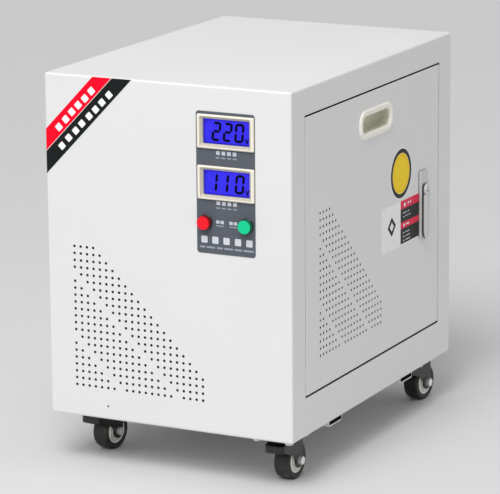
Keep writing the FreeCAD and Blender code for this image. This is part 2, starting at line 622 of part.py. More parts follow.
# ---------------------------------------------------------------- core and coils
core = new_body("core_laminations")
s = sketch(core, "YZ", "core_x-core_stack/2")
rect(s, "-core_wide/2", "core_low", "core_wide/2", "core_low+core_tall")
rect(s, "leg_wide-core_wide/2", "core_low+leg_wide", "core_wide/2-leg_wide",
     "core_low+core_tall-leg_wide")
pad(core, s, "core_stack")
BOLTS = [(y, z) for y in ("leg_wide/2-core_wide/2", "0", "core_wide/2-leg_wide/2")
         for z in ("core_low+leg_wide/2", "core_low+core_tall-leg_wide/2")]
s = sketch(core, "YZ", "core_x-core_stack")
for y, z in BOLTS:
    circle(s, y, z, "bolt_size")
pocket(core, s, "3*core_stack", back=True)
place(core, "0", "0", "leg_height")

for name, sy in (("front_coil", "-"), ("rear_coil", "")):
    q = new_body(name)
    s = sketch(q, off="core_low+core_tall/2-coil_tall/2")
    yc = sy + "(core_wide-leg_wide)/2"
    rrect(s, "core_x", yc, "coil_deep", "coil_wide", "12")
    rect(s, "core_x-core_stack/2", "(%s)-leg_wide/2" % yc, "core_x+core_stack/2",
         "(%s)+leg_wide/2" % yc)
    f = pad(q, s, "coil_tall")
    z0, z1 = val("core_low+core_tall/2-coil_tall/2"), val("core_low+core_tall/2+coil_tall/2")
    fillet(q, f, lambda e, bb: bb.ZLength < 0.01 and
           not (bb.XMin > val("core_x-core_stack/2") - 0.1 and bb.XMax < val("core_x+core_stack/2") + 0.1
                and bb.YMin > val("(%s)-leg_wide/2" % yc) - 0.1 and
                bb.YMax < val("(%s)+leg_wide/2" % yc) + 0.1), "3")
    place(q, "0", "0", "leg_height")

clamp = new_body("clamp_angles")
s = sketch(clamp, "XZ", "-clamp_length/2")
fx, rx = "core_x+core_stack/2", "core_x-core_stack/2"
zl, zh = "core_low+leg_wide-3", "core_low+core_tall-leg_wide+8"
zt_ = "core_low+core_tall"
poly(s, [(fx, "gauge"), (fx + "+44", "gauge"), (fx + "+44", "gauge+4"), (fx + "+4", "gauge+4"),
         (fx + "+4", zl), (fx, zl)])
poly(s, [(rx, "gauge"), (rx, zl), (rx + "-4", zl), (rx + "-4", "gauge+4"), (rx + "-44", "gauge+4"),
         (rx + "-44", "gauge")])
poly(s, [(fx, zh), (fx + "+4", zh), (fx + "+4", zt_ + "-4"), (fx + "+44", zt_ + "-4"),
         (fx + "+44", zt_), (fx, zt_)])
poly(s, [(rx, zh), (rx, zt_), (rx + "-44", zt_), (rx + "-44", zt_ + "-4"), (rx + "-4", zt_ + "-4"),
         (rx + "-4", zh)])
pad(clamp, s, "clamp_length")
s = sketch(clamp, "YZ", "core_x-core_stack")
for y, z in BOLTS:
    circle(s, y, z, "bolt_size")
pocket(clamp, s, "3*core_stack", back=True)
s = sketch(clamp, off="gauge+10")
for bx in (fx + "+25", rx + "-25"):
    for sy in ("-", ""):
        circle(s, bx, sy + "rail_y", "bolt_size")
pocket(clamp, s, "12")
place(clamp, "0", "0", "leg_height")

bolts = new_body("core_bolts")
s = sketch(bolts, "YZ", "core_x-core_stack/2-4-11")
for y, z in BOLTS:
    circle(s, y, z, "bolt_size")
pad(bolts, s, "core_stack+8+22")
s = sketch(bolts, "YZ", "core_x+core_stack/2+4")
for y, z in BOLTS:
    hexagon(s, y, z, "16")
pad(bolts, s, "7")
s = sketch(bolts, "YZ", "core_x-core_stack/2-4")
for y, z in BOLTS:
    hexagon(s, y, z, "16")
pad(bolts, s, "7", back=True)
s = sketch(bolts, off="gauge+4")
for bx in (fx + "+25", rx + "-25"):
    for sy in ("-", ""):
        hexagon(s, bx, sy + "rail_y", "16")
pad(bolts, s, "6.4")
s = sketch(bolts, off="-7.1")
for bx in (fx + "+25", rx + "-25"):
    for sy in ("-", ""):
        circle(s, bx, sy + "rail_y", "bolt_size")
pad(bolts, s, "gauge+4+7.1")
s = sketch(bolts)
for bx in (fx + "+25", rx + "-25"):
    for sy in ("-", ""):
        hexagon(s, bx, sy + "rail_y", "16")
pad(bolts, s, "7", back=True)
place(bolts, "0", "0", "leg_height")

board = new_body("terminal_board")
f = pad(board, rrect(sketch(board, off="core_low+core_tall"), "core_x+core_stack/2+7+board_wide/2", "0",
                     "board_wide", "board_length", "3"), "board_thick")
LEADS = ["-125", "-70", "70", "125"]
s = sketch(board, off="core_low+core_tall+board_thick")
for y in LEADS + ["-20", "20"]:
    circle(s, "stud_x", y, "8")
pocket(board, s, "2*board_thick")
place(board, "0", "0", "leg_height")

studs = new_body("terminal_studs")
s = sketch(studs, off="core_low+core_tall-6")
for y in LEADS + ["-20", "20"]:
    circle(s, "stud_x", y, "8")
pad(studs, s, "board_thick+26")
for off, back in (("core_low+core_tall+board_thick", False), ("core_low+core_tall", True)):
    s = sketch(studs, off=off)
    for y in LEADS + ["-20", "20"]:
        hexagon(s, "stud_x", y, "13")
    pad(studs, s, "5", back=back)
place(studs, "0", "0", "leg_height")


def pipe(b, plane, off, pts, radii, dia, prof_plane, prof_off, prof_at):
    """Round bar along straight runs joined by tangent arcs, bound to its diameter."""
    s = sketch(b, plane, off)
    q = [V(x, y, 0) for x, y in pts]
    n = len(q)
    start = q[0]
    geo = []
    for i in range(1, n):
        if i < n - 1:
            u, w = (q[i] - q[i - 1]).normalize(), (q[i + 1] - q[i]).normalize()
            turn = u.getAngle(w)
            cut = radii[i - 1] * math.tan(turn / 2)
            a, c = q[i] - u * cut, q[i] + w * cut
            side = 1 if u.cross(w).z > 0 else -1
            mid = q[i] + (w - u).normalize() * (radii[i - 1] / math.cos(turn / 2) - radii[i - 1])
            geo.append(Part.LineSegment(start, a))
            geo.append(Part.Arc(a, mid, c))
            start = c
        else:
            geo.append(Part.LineSegment(start, q[i]))
    s.addGeometry(geo)
    p = sketch(b, prof_plane, prof_off)
    circle(p, prof_at[0], prof_at[1], dia)
    f = b.newObject("PartDesign::AdditivePipe", b.Name + "_pipe")
    f.Profile = p
    f.Spine = s
    doc.recompute()
    length = sum(g.length() for g in geo)
    area = math.pi * val(dia) ** 2 / 4
    print("run", b.Name, "length %.2f volume %.1f section x length %.1f"
          % (length, f.Shape.Volume, area * length))
    return f


members = []
zc = val("core_low+core_tall/2+coil_tall/2")
zs = val("core_low+core_tall-6")
for k, y in enumerate(LEADS):
    q = new_body("lead_%d" % (k + 1))
    pipe(q, "XZ", "0", [(30, zc), (30, zc + 14), (val("stud_x"), zc + val("stud_x") - 16), (val("stud_x"), zs)],
         [12, 8],
         "lead_size", "XY", "core_low+core_tall/2+coil_tall/2", ("30", "0"))
    place(q, "0", y, "leg_height", node=False)
    members.append(q)
group("coil_leads", members)

cable = new_body("meter_cable")
zc = val("core_low+core_tall+board_thick+20")
pipe(cable, "YZ", "stud_x", [(-val("cab_depth/2+overlay_thick-meter_back"), 392.8), (-125, 392.8),
                             (-125, zc)], [55], "cable_size", "XZ",
     "cab_depth/2+overlay_thick-meter_back", ("stud_x", "392.8"))
place(cable, "0", "0", "leg_height")

# ---------------------------------------------------------------- casters
# each caster in its own frame: swivel axis at the origin, +X towards the wheel
CORNERS = [("fl", "-swivel_x", "-fl_y"), ("fr", "swivel_x", "-fr_y"),
           ("rl", "-swivel_x", "swivel_y"), ("rr", "swivel_x", "swivel_y")]
members = []
for tag, cx, cy in CORNERS:
    q = new_body("plate_" + tag)
    pad(q, rrect(sketch(q, off="-plate_thick"), "0", "0", "plate_side", "plate_side", "6"),
        "plate_thick")
    s = sketch(q, "XZ")
    poly(s, [("0", "-plate_thick"), ("22", "-plate_thick"), ("22", "-6"), ("19", "-10.2"),
             ("kingpin_size/2", "-10.2"), ("kingpin_size/2", "-14"), ("7.5", "-14"), ("7.5", "-16"),
             ("0", "-16")])
    revolve(q, s)
    s = sketch(q)
    for dx in ("-", ""):
        for dy in ("-", ""):
            circle(s, dx + "screw_pitch/2", dy + "screw_pitch/2", "screw_size")
    pocket(q, s, "2*plate_thick")
    place(q, cx, cy, "leg_height", node=False)
    members.append(q)
group("caster_plates", members)

screws = new_body("caster_bolts")
spots = [("%s%sscrew_pitch/2" % (cx, dx), "%s%sscrew_pitch/2" % (cy, dy))
         for _t, cx, cy in CORNERS for dx in ("-", "+") for dy in ("-", "+")]
s = sketch(screws, off="-plate_thick")
for x, y in spots:
    circle(s, x, y, "screw_size")
pad(screws, s, "plate_thick+9")
s = sketch(screws, off="-plate_thick")
for x, y in spots:
    hexagon(s, x, y, "10")
pad(screws, s, "4", back=True)
s = sketch(screws, off="gauge")
for x, y in spots:
    hexagon(s, x, y, "10")
pad(screws, s, "5")
place(screws, "0", "0", "leg_height")

for tag, cx, cy in CORNERS:
    yaw = val("yaw_" + tag)
    turn = FreeCAD.Rotation(V(0, 0, 1), 90.0 - yaw)
    dx, dy = math.sin(math.radians(yaw)), math.cos(math.radians(yaw))
    hub_x = "%s+trail*%.8f" % (cx, dx)
    hub_y = "%s+trail*%.8f" % (cy, dy)
    hub_z = "wheel_radius"
    q = new_body(tag + "_fork")
    s = sketch(q, "XZ", "-fork_wide/2")
    az = "wheel_radius-leg_height"
    poly(s, [("-23", "-11"), ("31", "-11"), ("32.6", "-14"), ("trail+9.6", az + "+2"), ("trail", az),
             ("trail-9.9", az + "+2"), ("trail-10.6", "-36"), ("8", "-31.5"), ("-12", "-23"), ("-23", "-21.5")])
    f = pad(q, s, "fork_wide")
    f = fillet(q, f, lambda e, bb: near(bb.XMin, -23) and near(bb.XMax, -23) and bb.ZLength > 9, "8")
    fillet(q, f, lambda e, bb: near(bb.ZMin, -11) and near(bb.ZMax, -11), "2.4")
    pad(q, circle(sketch(q, "XZ", "-fork_wide/2"), "trail", az, "19.8"), "fork_wide")
    pocket(q, rrect(sketch(q, off="-13.5"), "20", "0", "82", "fork_inside", "6"), "60")
    pocket(q, circle(sketch(q, off="-11"), "0", "0", "kingpin_size+2*running_gap"), "3")
    pocket(q, circle(sketch(q, "XZ", "-fork_wide/2"), "trail", az, "axle_size"), "2*fork_wide",
           back=True)
    place(q, cx, cy, "leg_height", turn)

    q = new_body(tag + "_tyre")
    s = sketch(q)
    hw = "tyre_width/2"
    poly(s, [("rim_radius", "1-" + hw), ("wheel_radius-3", "-" + hw), ("wheel_radius-1", "0.8-" + hw),
             ("wheel_radius-0.2", "2.4-" + hw), ("wheel_radius", "4-" + hw),
             ("wheel_radius", hw + "-4"), ("wheel_radius-0.2", hw + "-2.4"),
             ("wheel_radius-1", hw + "-0.8"), ("wheel_radius-3", hw), ("rim_radius", hw + "-1")])
    revolve(q, s)
    place(q, hub_x, hub_y, hub_z, turn)

    q = new_body(tag + "_rim")
    s = sketch(q)
    bore = "axle_size/2+running_gap"
    side = [("rim_radius", "10"), ("14.8", "10"), ("14.3", "9"), ("14.1", "7"), ("13.5", "7"),
            ("13.2", "9"), ("12.6", "9.6"), ("9.6", "8.4"), ("8", "8.4"), ("7.4", "11.5"), (bore, "11.5")]
    poly(s, side + [(r, "-" + z) for r, z in reversed(side)])
    revolve(q, s)
    place(q, hub_x, hub_y, hub_z, turn)

    q = new_body(tag + "_axle")
    pad(q, circle(sketch(q, "XZ", "-19.6"), "0", "0", "axle_size"), "33.6")
    pad(q, hexagon(sketch(q, "XZ", "fork_wide/2"), "0", "0", "10", 15), "5")
    s = sketch(q, "XZ", "-fork_wide/2-5")
    pad(q, hexagon(s, "0", "0", "10", 15), "5")
    place(q, hub_x, hub_y, hub_z, turn)

# ---------------------------------------------------------------- check and write
doc.recompute()
bad = []
for o in doc.Objects:
    if any(word in ("Invalid", "Error") for word in o.State):
        bad.append("%s state %s" % (o.Name, o.State))
for o in NODES:
    shp = o.Shape
    if shp.isNull() or not shp.isValid() or not shp.Solids:
        bad.append("%s has no valid solid" % o.Label)
if bad:
    raise RuntimeError("; ".join(bad))
labels = [o.Label for o in NODES]
if len(set(labels)) != len(labels) or len(labels) > 60:
    raise RuntimeError("labels: %d" % len(labels))
box = FreeCAD.BoundBox()
for o in NODES:
    box.add(o.Shape.BoundBox)
    o.Shape.exportStep("parts/" + o.Label + ".step")
print("nodes", len(NODES))
print("box x %.3f %.3f y %.3f %.3f z %.3f %.3f"
      % (box.XMin, box.XMax, box.YMin, box.YMax, box.ZMin, box.ZMax))
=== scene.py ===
import math
import bmesh
import bpy
from mathutils import Matrix, Vector


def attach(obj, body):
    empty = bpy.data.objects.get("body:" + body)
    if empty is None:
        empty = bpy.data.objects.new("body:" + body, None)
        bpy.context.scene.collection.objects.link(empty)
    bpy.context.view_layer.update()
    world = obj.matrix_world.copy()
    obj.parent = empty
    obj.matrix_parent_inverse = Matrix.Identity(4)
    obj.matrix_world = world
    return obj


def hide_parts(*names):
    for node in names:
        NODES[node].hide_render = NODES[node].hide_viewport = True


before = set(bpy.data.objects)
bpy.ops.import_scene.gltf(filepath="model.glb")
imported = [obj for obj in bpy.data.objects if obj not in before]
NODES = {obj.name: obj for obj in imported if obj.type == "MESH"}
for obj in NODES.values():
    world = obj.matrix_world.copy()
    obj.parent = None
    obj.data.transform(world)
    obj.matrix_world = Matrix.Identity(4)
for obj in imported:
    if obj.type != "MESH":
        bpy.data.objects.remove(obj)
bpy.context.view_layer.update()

MM = 0.001
SX, SY, LEG = -4.3, 3.05, 66.0          # the cabinet's centre in the row frame, and its underside


def P(x, y, z):
    """Cabinet millimetres, z from the floor, to the row frame in metres."""
    return Vector(((x + SX) * MM, (y + SY) * MM, z * MM))


# ------------------------------------------------------------------ camera
scene = bpy.context.scene
scene.view_settings.view_transform = "Standard"
scene.view_settings.look = "None"


def camera():
    az, el, roll = math.radians(26.764226), math.radians(13.311482), math.radians(-0.445362)
    back = Vector((math.sin(az) * math.cos(el), -math.cos(az) * math.cos(el), math.sin(el)))
    right = Vector((0, 0, 1)).cross(back).normalized()
    up = back.cross(right)
    c, s = math.cos(roll), math.sin(roll)
    r2, u2 = c * right + s * up, -s * right + c * up
    data = bpy.data.cameras.new("camera")
    data.sensor_width = 36.0
    data.lens = 3112.12093 * 36.0 / 500.0
    data.clip_end = 100.0
    cam = bpy.data.objects.new("camera", data)
    scene.collection.objects.link(cam)
    m = Matrix((r2, u2, back)).transposed().to_4x4()
    m.translation = P(1817.578, -3621.738, 1143.657 + LEG)
    cam.matrix_world = m
    scene.camera = cam


camera()


# ------------------------------------------------------------------ materials
def new_mat(name, color, rough=0.5, metal=0.0, **sockets):
    m = bpy.data.materials.new(name)
    m.use_nodes = True
    nt = m.node_tree
    b = nt.nodes["Principled BSDF"]
    b.inputs["Base Color"].default_value = (*color, 1)
    b.inputs["Roughness"].default_value = rough
    b.inputs["Metallic"].default_value = metal
    for k, v in sockets.items():
        b.inputs[k.replace("_", " ")].default_value = v
    m.diffuse_color = (*color, 1)
    return m, nt, b


def N(nt, kind, **props):
    n = nt.nodes.new(kind)
    for k, v in props.items():
        setattr(n, k, v)
    return n


def coords(nt, scale=(1, 1, 1)):
    tc = N(nt, "ShaderNodeTexCoord")
    mp = N(nt, "ShaderNodeMapping")
    mp.inputs["Scale"].default_value = scale
    nt.links.new(tc.outputs["Object"], mp.inputs["Vector"])
    return mp.outputs["Vector"]


def noise(nt, vec, scale, detail=3.0, rough=0.5):
    n = N(nt, "ShaderNodeTexNoise")
    n.inputs["Scale"].default_value = scale
    n.inputs["Detail"].default_value = detail
    n.inputs["Roughness"].default_value = rough
    nt.links.new(vec, n.inputs["Vector"])
    return n.outputs["Fac"]


def voronoi(nt, vec, scale, feature="F1"):
    n = N(nt, "ShaderNodeTexVoronoi", feature=feature)
    n.inputs["Scale"].default_value = scale
    nt.links.new(vec, n.inputs["Vector"])
    return n.outputs["Distance"]


def ramp(nt, fac, stops, interp="LINEAR"):
    r = N(nt, "ShaderNodeValToRGB")
    r.color_ramp.interpolation = interp
    while len(r.color_ramp.elements) < len(stops):
        r.color_ramp.elements.new(0.5)
    for e, (p, c) in zip(r.color_ramp.elements, stops):
        e.position = p
        e.color = (*c, 1) if len(c) == 3 else c
    nt.links.new(fac, r.inputs["Fac"])
    return r.outputs["Color"]


def grey(v):
    return (v, v, v)


def bump(nt, b, height, strength=0.3, distance=0.0002):
    n = N(nt, "ShaderNodeBump")
    n.inputs["Strength"].default_value = strength
    n.inputs["Distance"].default_value = distance
    nt.links.new(height, n.inputs["Height"])
    nt.links.new(n.outputs["Normal"], b.inputs["Normal"])


def math_node(nt, op, a, c=None, clamp=False):
    n = N(nt, "ShaderNodeMath", operation=op, use_clamp=clamp)
    for i, v in enumerate((a, c)):
        if v is None:
            continue
        if isinstance(v, (int, float)):
            n.inputs[i].default_value = v
        else:
            nt.links.new(v, n.inputs[i])
    return n.outputs[0]


def mix_color(nt, fac, a, c):
    n = N(nt, "ShaderNodeMix", data_type="RGBA")
    nt.links.new(fac, n.inputs["Factor"])
    for i, v in ((6, a), (7, c)):
        if isinstance(v, tuple):
            n.inputs[i].default_value = (*v, 1) if len(v) == 3 else v
        else:
            nt.links.new(v, n.inputs[i])
    return n.outputs[2]


def axis_of(nt, which):
    """Object coordinate along one axis, in metres."""
    tc = N(nt, "ShaderNodeTexCoord")
    sp = N(nt, "ShaderNodeSeparateXYZ")
    nt.links.new(tc.outputs["Object"], sp.inputs["Vector"])
    return sp.outputs[which]


def step(nt, value, lo, hi):
    """0 below lo, 1 above hi, straight between."""
    n = N(nt, "ShaderNodeMapRange")
    n.inputs["From Min"].default_value = lo
    n.inputs["From Max"].default_value = hi
    nt.links.new(value, n.inputs["Value"])
    return n.outputs["Result"]


def within(nt, which, lo, hi):
    """1 where the object coordinate lies between lo and hi metres."""
    x = axis_of(nt, which)
    a = N(nt, "ShaderNodeMath", operation="GREATER_THAN")
    nt.links.new(x, a.inputs[0])
    a.inputs[1].default_value = lo
    c = N(nt, "ShaderNodeMath", operation="LESS_THAN")
    nt.links.new(x, c.inputs[0])
    c.inputs[1].default_value = hi
    return math_node(nt, "MULTIPLY", a.outputs[0], c.outputs[0])


def varied(nt, b, color, amount, scale, vec, rough=None, rough_amount=0.0):
    """Slow colour and roughness drift over a surface."""
    f = noise(nt, vec, scale, 4.0, 0.6)
    lo = tuple(max(0.0, c * (1 - amount)) for c in color)
    hi = tuple(min(1.0, c * (1 + amount)) for c in color)
    out = ramp(nt, f, [(0.3, lo), (0.7, hi)])
    nt.links.new(out, b.inputs["Base Color"])
    if rough is not None and rough_amount:
        r = ramp(nt, f, [(0.3, grey(rough - rough_amount)), (0.7, grey(rough + rough_amount))])
        nt.links.new(r, b.inputs["Roughness"])
    return out


def powder_coat(name, color, rough=0.40, gap_shade=None, vents=None):
    """Fine satin powder coat. The gap boxes (x from, x to, limits, in metres) are painted near-black behind the
    outer face along door edges, jamb and rail hollows: painted shade.
    vents: (axis, from, to, limits) for the insides of the punched holes, painted near-black as painted shade."""
    m, nt, b = new_mat(name, color, rough)
    v = coords(nt)
    out = varied(nt, b, color, 0.010, 6.0, v, rough, 0.04)
    fine = noise(nt, v, 1100.0, 2.0, 0.6)
    cells = voronoi(nt, v, 420.0, "SMOOTH_F1")
    h = math_node(nt, "ADD", math_node(nt, "MULTIPLY", fine, 0.4), cells)
    bump(nt, b, h, 0.10, 0.00005)
    b.inputs["Specular IOR Level"].default_value = 0.45
    # near-black painted shade for the gap boxes and the hole insides
    dark = ramp(nt, noise(nt, v, 900.0, 2.0, 0.7), [(0.3, grey(0.010)), (0.7, grey(0.018))])
    if gap_shade is not None:
        for x0, x1, limits in gap_shade:
            inside = within(nt, "X", x0, x1)
            for axis, lo, hi in limits:
                inside = math_node(nt, "MULTIPLY", inside, within(nt, axis, lo, hi))
            out = mix_color(nt, inside, out, dark)
    if vents is not None:
        axis, lo, hi, limits = vents
        inside = within(nt, axis, lo, hi)
        for a, c0, c1 in limits:
            inside = math_node(nt, "MULTIPLY", inside, within(nt, a, c0, c1))
        out = mix_color(nt, inside, out, dark)
    nt.links.new(out, b.inputs["Base Color"])
    return m


def moulded(name, color, rough=0.5, grain=700.0, depth=0.00003, amount=0.03, **kw):
    m, nt, b = new_mat(name, color, rough, **kw)
    v = coords(nt)
    varied(nt, b, color, amount, 25.0, v, rough, 0.04)
    bump(nt, b, noise(nt, v, grain, 2.0, 0.6), 0.25, depth)
    return m


def metal(name, color, rough=0.3, stretch=(1, 1, 1), grain=500.0, depth=0.00002, amount=0.06, met=1.0):
    m, nt, b = new_mat(name, color, rough, met)
    v = coords(nt, stretch)
    varied(nt, b, color, amount, 40.0, v, rough, 0.06)
    bump(nt, b, noise(nt, v, grain, 3.0, 0.7), 0.3, depth)
    return m


def printed(name, color, rough=0.42):
    """Ink on film: flat colour with faint mottle and a screen-print grain."""
    m, nt, b = new_mat(name, color, rough, 0.0, Specular_IOR_Level=0.12)
    v = coords(nt)
    varied(nt, b, color, 0.035, 60.0, v, rough, 0.05)
    bump(nt, b, noise(nt, v, 1600.0, 2.0, 0.7), 0.2, 0.00001)
    return m


def lit(name, color, glow, face_y, strength, rough=0.25):
    """Translucent lamp cap: the front lights up, the sides stay deeper."""
    m, nt, b = new_mat(name, color, rough, 0.0, Specular_IOR_Level=0.2)
    v = coords(nt)
    y = axis_of(nt, "Y")
    front = step(nt, y, face_y + 0.0007, face_y + 0.0002)
    n = noise(nt, v, 350.0, 3.0, 0.5)
    bright = ramp(nt, n, [(0.3, tuple(c * 0.93 for c in glow)), (0.7, glow)])
    dim = tuple(c * 0.08 for c in glow)
    nt.links.new(mix_color(nt, front, dim, bright), b.inputs["Emission Color"])
    b.inputs["Emission Strength"].default_value = strength
    varied(nt, b, color, 0.05, 80.0, v, rough, 0.04)
    bump(nt, b, noise(nt, v, 900.0, 2.0, 0.5), 0.15, 0.00002)
    return m


def screen(name, level):
    """Back-lit blue display, its glow painted darker towards its border as painted shade."""
    m, nt, b = new_mat(name, (0.004, 0.003, 0.10), 0.22, 0.0, Specular_IOR_Level=0.12)
    v = coords(nt)
    dx = math_node(nt, "ABSOLUTE", math_node(nt, "SUBTRACT", axis_of(nt, "X"), (84.8 + SX) * MM))
    dz = math_node(nt, "ABSOLUTE", math_node(nt, "SUBTRACT", axis_of(nt, "Z"), level * MM))
    # edge is 1 in the middle and falls to 0 at the border, where the glow is painted darker as painted shade
    edge = math_node(nt, "MULTIPLY", step(nt, dx, 0.0325, 0.0295), step(nt, dz, 0.016, 0.0130))
    n = noise(nt, v, 120.0, 3.0, 0.6)
    mid = ramp(nt, n, [(0.25, (0.034, 0.025, 0.80)), (0.75, (0.046, 0.036, 0.90))])
    nt.links.new(mix_color(nt, edge, (0.006, 0.003, 0.30), mid), b.inputs["Emission Color"])
    b.inputs["Emission Strength"].default_value = 0.92
    fine = noise(nt, v, 1500.0, 1.0, 0.5)
    nt.links.new(ramp(nt, fine, [(0.3, grey(0.20)), (0.7, grey(0.28))]), b.inputs["Roughness"])
    return m


def tread(name):
    m, nt, b = new_mat(name, (0.030, 0.030, 0.031), 0.45)
    v = coords(nt)
    f = noise(nt, v, 55.0, 5.0, 0.75)
    nt.links.new(ramp(nt, f, [(0.3, (0.008, 0.008, 0.0075)), (0.56, (0.018, 0.0175, 0.016)),
                              (0.76, (0.085, 0.080, 0.070))]), b.inputs["Base Color"])
    nt.links.new(ramp(nt, f, [(0.3, grey(0.34)), (0.8, grey(0.62))]), b.inputs["Roughness"])
    bump(nt, b, noise(nt, v, 650.0, 3.0, 0.7), 0.45, 0.00015)
    return m


def winding(name):
    """Varnished enamelled wire in layers."""
    m, nt, b = new_mat(name, (0.40, 0.14, 0.05), 0.30, 0.25, Coat_Weight=0.35, Coat_Roughness=0.18)
    v = coords(nt)
    layers = noise(nt, coords(nt, (0.05, 0.05, 14.0)), 40.0, 3.0, 0.6)
    patch = noise(nt, v, 26.0, 4.0, 0.6)
    f = math_node(nt, "ADD", math_node(nt, "MULTIPLY", layers, 0.65), math_node(nt, "MULTIPLY", patch, 0.35))
    nt.links.new(ramp(nt, f, [(0.36, (0.27, 0.082, 0.026)), (0.50, (0.42, 0.140, 0.046)),
                              (0.64, (0.54, 0.210, 0.078))]), b.inputs["Base Color"])
    w = N(nt, "ShaderNodeTexWave", bands_direction="Z", wave_profile="SIN")
    w.inputs["Scale"].default_value = 310.0
    w.inputs["Distortion"].default_value = 0.4
    nt.links.new(v, w.inputs["Vector"])
    bump(nt, b, w.outputs["Fac"], 0.35, 0.0002)
    return m


def laminated(name):
    """Stack of thin sheets seen on edge, with varnish stains."""
    m, nt, b = new_mat(name, (0.10, 0.10, 0.11), 0.42, 0.55)
    sheets = noise(nt, coords(nt, (1800.0, 6.0, 6.0)), 1.0, 2.0, 0.7)
    stain = noise(nt, coords(nt), 22.0, 4.0, 0.6)
    c1 = ramp(nt, sheets, [(0.3, (0.05, 0.05, 0.055)), (0.7, (0.20, 0.20, 0.21))])
    nt.links.new(mix_color(nt, step(nt, stain, 0.45, 0.75), c1, (0.13, 0.075, 0.04)),
                 b.inputs["Base Color"])
    bump(nt, b, sheets, 0.4, 0.0002)
    return m


def cup_mat(name):
    """Ivory moulding whose cup is painted a dull olive with depth: painted shade inside the recess."""
    m, nt, b = new_mat(name, (0.90, 0.87, 0.78), 0.36)
    v = coords(nt)
    f = noise(nt, v, 30.0, 3.0, 0.6)
    ivory = ramp(nt, f, [(0.3, (0.92, 0.895, 0.80)), (0.7, (0.97, 0.945, 0.86))])
    # dull olive painted shade deep in the cup
    cup_painted_shade = ramp(nt, f, [(0.3, (0.64, 0.635, 0.50)), (0.7, (0.75, 0.75, 0.63))])
    deep = step(nt, axis_of(nt, "X"), 0.1692, 0.1708)
    nt.links.new(mix_color(nt, deep, cup_painted_shade, ivory), b.inputs["Base Color"])
    nt.links.new(ramp(nt, f, [(0.3, grey(0.32)), (0.7, grey(0.42))]), b.inputs["Roughness"])
    bump(nt, b, noise(nt, v, 800.0, 2.0, 0.6), 0.2, 0.00003)
    return m


OUT_X = (175.0 + SX) * MM
FACE_Y = (-250.0 - 0.5 - 8.8 + SY) * MM
FRONT_Y = (-250.0 + SY) * MM
LOW_Y, HIGH_Y = (-210.0 + SY) * MM, (208.0 + SY) * MM
COAT = (0.778, 0.781, 0.778)
# depth behind the outer face over which the door edge fold and the jamb get painted shade
GAP_SHADE_DEPTH = 0.0062
WHITE = powder_coat("powder_white", COAT)
# the insides of the front perforations are painted near-black: painted shade
FACE = powder_coat("powder_front", COAT, vents=("Y", FRONT_Y + 0.00022, FRONT_Y + 0.00135, [
    ("X", -0.146, 0.060), ("Z", 0.090, 0.300)]))
# jamb faces in the door gap painted near-black: painted shade of the closed gap
FRAME = powder_coat("powder_frame", COAT, gap_shade=[
    (OUT_X - GAP_SHADE_DEPTH, OUT_X - 0.0009, [("Y", LOW_Y - 0.0034, HIGH_Y + 0.0034), ("Z", 0.4765, 0.4818)]),
    (OUT_X - GAP_SHADE_DEPTH, OUT_X - 0.0009, [("Y", LOW_Y - 0.0034, HIGH_Y + 0.0034), ("Z", 0.1152, 0.1205)]),
    (OUT_X - GAP_SHADE_DEPTH, OUT_X - 0.0040, [("Y", LOW_Y - 0.0034, HIGH_Y + 0.0034), ("Z", 0.1152, 0.4818)])])
# insides of the hollow rail ends painted near-black: painted shade
RAIL = powder_coat("powder_rail", COAT, gap_shade=[
    (-0.180, 0.180, [("Y", -0.12835, -0.09155), ("Z", 0.0586, 0.0700)]),
    (-0.180, 0.180, [("Y", 0.09765, 0.13445), ("Z", 0.0586, 0.0700)])])
# edge fold round the door painted near-black as painted shade of the closed gap, and the perforation insides
# painted near-black as painted shade
DOOR = powder_coat("powder_door", COAT, gap_shade=[
    (OUT_X - GAP_SHADE_DEPTH, OUT_X - 0.0006, [("Z", 0.4774, 0.50)]), (OUT_X - GAP_SHADE_DEPTH, OUT_X - 0.0006, [("Z", 0.10, 0.1196)]),
    (OUT_X - GAP_SHADE_DEPTH, OUT_X - 0.0009, [("Y", LOW_Y - 0.001, LOW_Y + 0.0012)]),
    (OUT_X - GAP_SHADE_DEPTH, OUT_X - 0.0040, [("Y", HIGH_Y - 0.0012, HIGH_Y + 0.001)])],
    vents=("X", OUT_X - 0.00135, OUT_X - 0.00018, [("Y", -0.172, 0.060), ("Z", 0.130, 0.365)]))
SLATE = printed("overlay_slate", (0.104, 0.116, 0.140), 0.40)


def bezel(name, level):
    """Cream moulding whose slope down to the display is painted a duller tan: painted shade."""
    m = moulded(name, (0.88, 0.83, 0.71), 0.34)
    nt = m.node_tree
    b = nt.nodes["Principled BSDF"]
    was = b.inputs["Base Color"].links[0].from_socket
    x0, z0 = (84.8 + SX) * MM, level * MM
    inside = math_node(nt, "MULTIPLY", within(nt, "X", x0 - 0.0356, x0 + 0.0356),
                       within(nt, "Z", z0 - 0.0191, z0 + 0.0191))
    fine = noise(nt, coords(nt), 220.0, 3.0, 0.6)
    # the inner slope painted a duller tan: painted shade
    slope_painted_shade = ramp(nt, fine, [(0.3, (0.53, 0.485, 0.38)), (0.7, (0.60, 0.55, 0.44))])
    nt.links.new(mix_color(nt, inside, was, slope_painted_shade), b.inputs["Base Color"])
    return m


CREAM_U = bezel("bezel_cream_upper", 458.8)
CREAM_L = bezel("bezel_cream_lower", 393.7)
BLACK = moulded("lamp_black", (0.020, 0.020, 0.020), 0.32)
RUBBER = moulded("rubber_black", (0.022, 0.022, 0.022), 0.62, 900.0, 0.00006)
TYRE = tread("tyre_black")
RIM = moulded("rim_cream", (0.97, 0.955, 0.90), 0.34)
IVORY = cup_mat("pull_ivory")
ZINC = metal("zinc_steel", (0.62, 0.62, 0.60), 0.38)
CHROME = metal("axle_chrome", (0.92, 0.93, 0.95), 0.24, met=0.55)
SATIN = metal("lock_satin", (0.56, 0.56, 0.55), 0.46, (1, 1, 0.12), 900.0, 0.00003, met=0.30)


